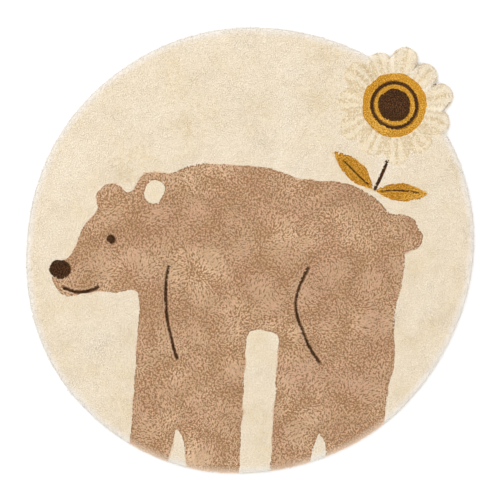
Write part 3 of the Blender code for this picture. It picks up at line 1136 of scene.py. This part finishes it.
# %% Ways to an outline
MOST_POINTS = 2000
PULLS = 5  # so many moves bring a point right onto the edge
FIRST_POINTS = 6  # they are near the start, so the way round can't be closed yet
CLOSED = 0.8  # nearer than this share of a step to the start, it is closed
LEAF_POINTS = 128
LEAF_FAR = 0.1  # from a leaf's middle, which is outside it


def pull(shape, x, y):
    """The point of a shape's edge that is nearest to a point not far from it."""
    for _ in range(PULLS):
        gx, gy = slope(shape, x, y)
        away = shape(x, y)
        x, y = x - away * gx, y - away * gy
    return float(x), float(y)


def trace(shape, start, step):
    """Points a step apart round a shape's edge, from a start near it."""
    x, y = pull(shape, *start)
    points = [(x, y)]
    for _ in range(MOST_POINTS):
        gx, gy = slope(shape, x, y)
        x, y = pull(shape, x - step * gy, y + step * gx)
        if len(points) > FIRST_POINTS and math.dist((x, y), points[0]) < step * CLOSED:
            break
        points.append((x, y))
    return np.array(points)


def leaf_outline(row):
    middle = ((row[0] + row[2]) / 2, (row[1] + row[3]) / 2)
    return rays_out(lambda x, y: leaf(x, y, row), middle, LEAF_POINTS, LEAF_FAR)


def ribbon(points, half):
    """Both sides of a line as one closed outline."""
    ahead = np.gradient(points, axis=0)
    ahead /= np.hypot(*ahead.T)[:, None]
    left = np.column_stack([-ahead[:, 1], ahead[:, 0]])
    return np.vstack([points - half * left, (points + half * left)[::-1]])


# %% Outlines
BEAR_START = (0.0, 0.22)
BEAR_STEP = 0.005
# Columns: shape, a point inside it, points round it, a distance from there that is outside.
ROUND_SHAPES = {
    "petals": (petals, FLOWER, 180, 0.2),
    "disc": (disc_edge, FLOWER, 120, 0.1),
    "heart": (heart_edge, FLOWER, 72, 0.1),
    "inner ear": (inner_ear, EAR_INNER[1:3], 40, 0.1),
    "nose": (nose, NOSE[1:3], 48, 0.1),
    "nose top": (nose, NOSE[1:3], 20, 0.1),
    "eye top": (eye, EYE[1:3], 20, 0.1),
}
outlines = {name: rays_out(*row) for name, row in ROUND_SHAPES.items()}
outlines["bear"] = trace(bear, BEAR_START, BEAR_STEP)
outlines["left leaf"], outlines["right leaf"] = (leaf_outline(row) for row in LEAVES)
outlines["stem"] = ribbon(dark_lines["stem"][0], LINE_HALF[2])
print("points of each outline:", {name: len(outline) for name, outline in outlines.items()})

# %% Mat material
# Real yarns are about 2 mm thick. These are as coarse as the ends that stand over them.
CREAM_YARN = 0.0036
FINE_YARN = 0.0030


def packed_cotton(name, colour, gap_shade, wide, relief, pale):
    """Yarns that stand packed side by side, each a wide cell with a domed top and an edge darkened by painted
    shade between the yarns. Pale is painted light at the rim."""
    made, tree, shader = new_material(name)
    add = partial(add_node, tree)
    place = add("ShaderNodeTexCoord").outputs["Object"]
    cells = {"Vector": place, "Scale": 1 / wide, "Randomness": 0.85}
    from_middle = add("ShaderNodeTexVoronoi", cells, voronoi_dimensions="2D").outputs["Distance"]
    limits = {"From Min": 0.15, "From Max": 0.65, "To Min": 0.0, "To Max": 1.0}
    to_edge = add("ShaderNodeMapRange", {"Value": from_middle, **limits})
    at_rim = add("ShaderNodeAttribute", attribute_name="at_rim").outputs["Fac"]
    shown = linear(colour)
    for share, over in ((to_edge, gap_shade), (at_rim, pale)):
        shown = add("ShaderNodeMix", {0: share, 6: shown, 7: linear(over)}, data_type="RGBA").outputs[2]
    dome = add(MATH, {0: from_middle, 1: from_middle}, operation="MULTIPLY")
    bumps = add("ShaderNodeBump", {"Strength": relief, "Distance": wide, "Height": dome}, invert=True)
    tree.links.new(shown, shader.inputs["Base Color"])
    tree.links.new(bumps.outputs[0], shader.inputs["Normal"])
    shader.inputs["Roughness"].default_value = 0.95
    shader.inputs["Specular IOR Level"].default_value = 0.2
    return made


# The mats of tan, ochre and brown are painted darker than their yarns, as shade deep in the pile.
# Columns: yarn, material, colour, painted shade between the yarns, yarn's width, relief, painted light at the
# rim.
PACKED_LOOKS = (
    (CREAM, "packed_cream_cotton", "#E5D8C2", "#D7C9B2", CREAM_YARN, 0.35, "#E4E1DD"),
    (TAN, "packed_tan_cotton", "#AF8863", "#97734F", FINE_YARN, 0.6, "#DCC8B4"),
    (OCHRE, "packed_ochre_cotton", "#C48C26", "#A87418", FINE_YARN, 0.6, "#C48C26"),
    (BROWN, "packed_dark_brown_cotton", "#402813", "#2E1B0B", FINE_YARN, 0.6, "#402813"),
    (PETAL, "packed_petal_cotton", "#EADCC2", "#DECFB2", CREAM_YARN, 0.4, "#E4E1DC"),
)
PACKED = {kind: packed_cotton(*look) for kind, *look in PACKED_LOOKS}
print("mats:", ", ".join(made.name for made in PACKED.values()))

# %% Rounded bodies of cream, tan and petals
RAYS = 420
# Columns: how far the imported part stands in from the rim, height.
PACKED_EDGE = (
    (0.0052, 0.0025),
    (0.0036, 0.0045),
    (0.0032, 0.0080),
    (0.0046, 0.0105),
    (0.0078, 0.0120),
    (0.0140, 0.0130),
)
MAT_TOPS = {CREAM: 0.0128, TAN: 0.0106, PETAL: 0.0128, OCHRE: 0.0105, BROWN: 0.0108}


def round_the_rug(profile):
    """Rings round the whole rug, each by its inset from the rim and its height."""
    rings = []
    for inset, height in profile:
        outline = rays_out(lambda x, y: rug(x, y) + inset, (0, 0), RAYS, RIM_FURTHEST)
        rings.append((outline, height))
    return rings


def rounded(top):
    """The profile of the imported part, rounded at the rim and cut off at this height."""
    insets, heights = zip(*PACKED_EDGE)
    rows = [(inset, height) for inset, height in PACKED_EDGE if height < top]
    return [*rows, (float(np.interp(top, heights, insets)), top), (RIM_PALE, top)]


mats = {}
for kind in (CREAM, TAN, PETAL):
    mat_name = SLOTS[kind].replace("_pile", "_mat")
    mats[kind] = body(mat_name, [round_the_rug(rounded(MAT_TOPS[kind]))])
print(len(mats), "bodies, each as large as the rug")

# %% Bodies of ochre and brown, and the inner ear's patch
DISC_TOP, HEART_TOP = 0.0125, 0.0127
SUNK = 0.0010  # how deep the heart and the ring reach into the disc
LINE_FOOT = 0.009
LINE_IN = 0.0008  # how far a dark line's mat stays inside the line
RING_HALF = 0.0042


def stack(outline, low, high):
    return [(outline, low), (outline, high)]


more_cream = body("more_cream", [stack(outlines["inner ear"], CLOTH_TOP, MAT_TOPS[CREAM])])
ochre = [stack(outlines["disc"], CLOTH_TOP, DISC_TOP)]
ochre += [stack(outlines[name], CLOTH_TOP, MAT_TOPS[OCHRE]) for name in ("left leaf", "right leaf")]
mats[OCHRE] = body("ochre_mat", ochre)

brown = [stack(outlines["heart"], DISC_TOP - SUNK, HEART_TOP)]
brown += [stack(outlines[name], LINE_FOOT, MAT_TOPS[BROWN]) for name in ("nose top", "eye top")]
for name, (points, rows) in dark_lines.items():
    if name != "ring":
        brown.append(stack(ribbon(points, LINE_HALF[rows] - LINE_IN), LINE_FOOT, MAT_TOPS[BROWN]))
ring_round = np.array(FLOWER) - ring_points[:-1]
inner, outer = (np.array(FLOWER) - ring_round * (1 + side * RING_HALF / RING) for side in (-1, 1))
ring_low, ring_high = DISC_TOP - SUNK, HEART_TOP
ring = [(inner, ring_low), (outer, ring_low), (outer, ring_high), (inner, ring_high)]
mats[BROWN] = body("brown_mat", brown, hoops=[ring])
print(len(ochre), "ochre bodies and", len(brown) + 1, "brown ones")

# %% Cutting the bodies to the picture
# Columns: mat, what is done to it, with which outlines.
CUTS = (
    (TAN, "INTERSECT", ("bear",)),
    (PETAL, "INTERSECT", ("petals",)),
    (PETAL, "DIFFERENCE", ("disc",)),
    (CREAM, "DIFFERENCE", ("bear", "nose", "petals", "left leaf", "right leaf", "stem")),
    (TAN, "DIFFERENCE", ("inner ear",)),
    (OCHRE, "DIFFERENCE", ("bear",)),
)
for kind, operation, names in CUTS:
    for name in names:
        carve(mats[kind], operation, outlines[name])

# The inner ear's patch joins the cream mat.
joined = bmesh.new()
for part in (mats[CREAM].data, more_cream.data):
    joined.from_mesh(part)
joined.to_mesh(mats[CREAM].data)
joined.free()
bpy.data.objects.remove(more_cream)
print(sum(len(names) for _, _, names in CUTS), "cuts")

# %% Colour and slot of each mat
for kind, mat in mats.items():
    corners = np.zeros(3 * len(mat.data.vertices))
    mat.data.vertices.foreach_get("co", corners)
    pale = np.clip(1 + rug(corners[0::3], corners[1::3]) / RIM_PALE, 0, 1)
    pale *= PETAL_PALE if kind == PETAL else 1.0
    mat.data.attributes.new("at_rim", "FLOAT", "POINT").data.foreach_set("value", pale.astype(np.float32))
    mat.data.materials.clear()
    mat.data.materials.append(PACKED[kind])
    print(mat.name, triangles(mat), "triangles")
mats = list(mats.values())

# %% [markdown]
# ## The base cloth
#
# Under the pile lies the cloth that the gun tufted through, a plain weave of unbleached cotton. It shows
# from below and as a thin line under the rim. It is a closed slab with a soft edge, and its weave is a
# wave each way with the crossings turned over and under by a checker. It is the sheet that the rug is cut
# from.

# %% Woven cloth
THREAD = 0.0034  # real threads are about 1 mm apart, but would vanish in the picture
SLUB = 1 / 60  # length of the thicker stretches of a thread
WEAVE_SHARE = 0.7  # of the light and dark in the cloth, and the rest comes from the slubs


def plain_weave(name, colour, shade):
    made, tree, shader = new_material(name)
    add = partial(add_node, tree)
    place = add("ShaderNodeTexCoord").outputs["Object"]
    spot = add("ShaderNodeSeparateXYZ", {0: place})
    waves = []
    for axis in ("X", "Y"):
        phase = add(MATH, {0: spot.outputs[axis], 1: math.pi / THREAD}, operation="MULTIPLY")
        swing = add(MATH, {0: phase}, operation="SINE")
        waves.append(add(MATH, {0: swing}, operation="ABSOLUTE"))
    counted = {"Vector": place, "Scale": (1 / THREAD,) * 3, "Location": (0, 0, 0.5)}
    crossings = {"Vector": add("ShaderNodeMapping", counted), "Scale": 1.0}
    over = add("ShaderNodeTexChecker", crossings).outputs["Fac"]
    height = add("ShaderNodeMix", {0: over, 2: waves[0], 3: waves[1]})
    slubs = add("ShaderNodeTexNoise", {"Vector": place, "Scale": 1 / SLUB, "Detail": 2.0})
    from_weave = add(MATH, {0: height, 1: WEAVE_SHARE}, operation="MULTIPLY")
    from_slubs = add(MATH, {0: slubs, 1: 1 - WEAVE_SHARE}, operation="MULTIPLY")
    tone = add(MATH, {0: from_weave, 1: from_slubs}, operation="ADD")
    # Painted shade darkens the low places of the weave; the slubs add the threads' own uneven tone.
    mixed = add("ShaderNodeMix", {0: tone, 6: linear(shade), 7: linear(colour)}, data_type="RGBA")
    bumps = add("ShaderNodeBump", {"Strength": 0.6, "Distance": 0.0008, "Height": height})
    tree.links.new(mixed.outputs[2], shader.inputs["Base Color"])
    tree.links.new(bumps.outputs[0], shader.inputs["Normal"])
    shader.inputs["Roughness"].default_value = 0.9
    shader.inputs["Specular IOR Level"].default_value = 0.25
    return made


# Columns: how far the cloth's edge stands in from the rim, height.
CLOTH_EDGE = ((0.0058, 0.0), (0.0050, 0.0007), (0.0050, 0.0018), (0.0057, CLOTH_TOP))
cloth_rings = round_the_rug(CLOTH_EDGE)
base_cloth = body("base_cloth", [cloth_rings])
base_cloth.data.materials.append(plain_weave("plain_woven_unbleached_cotton", "#E4DAC6", "#C9BBA1"))

# %% [markdown]
# ## On one body
#
# Everything lies on one rigid body, root, and the CAD solid is hidden, as the base cloth, the mats and the
# pile take its place.

# %% Riding and replacing
for piece in [base_cloth, *mats, *pile]:
    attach(piece, "root")
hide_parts("rug")
total = sum(triangles(piece) for piece in [base_cloth, *mats, *pile])
print(len(pile) + len(mats) + 1, "pieces,", total, "triangles")
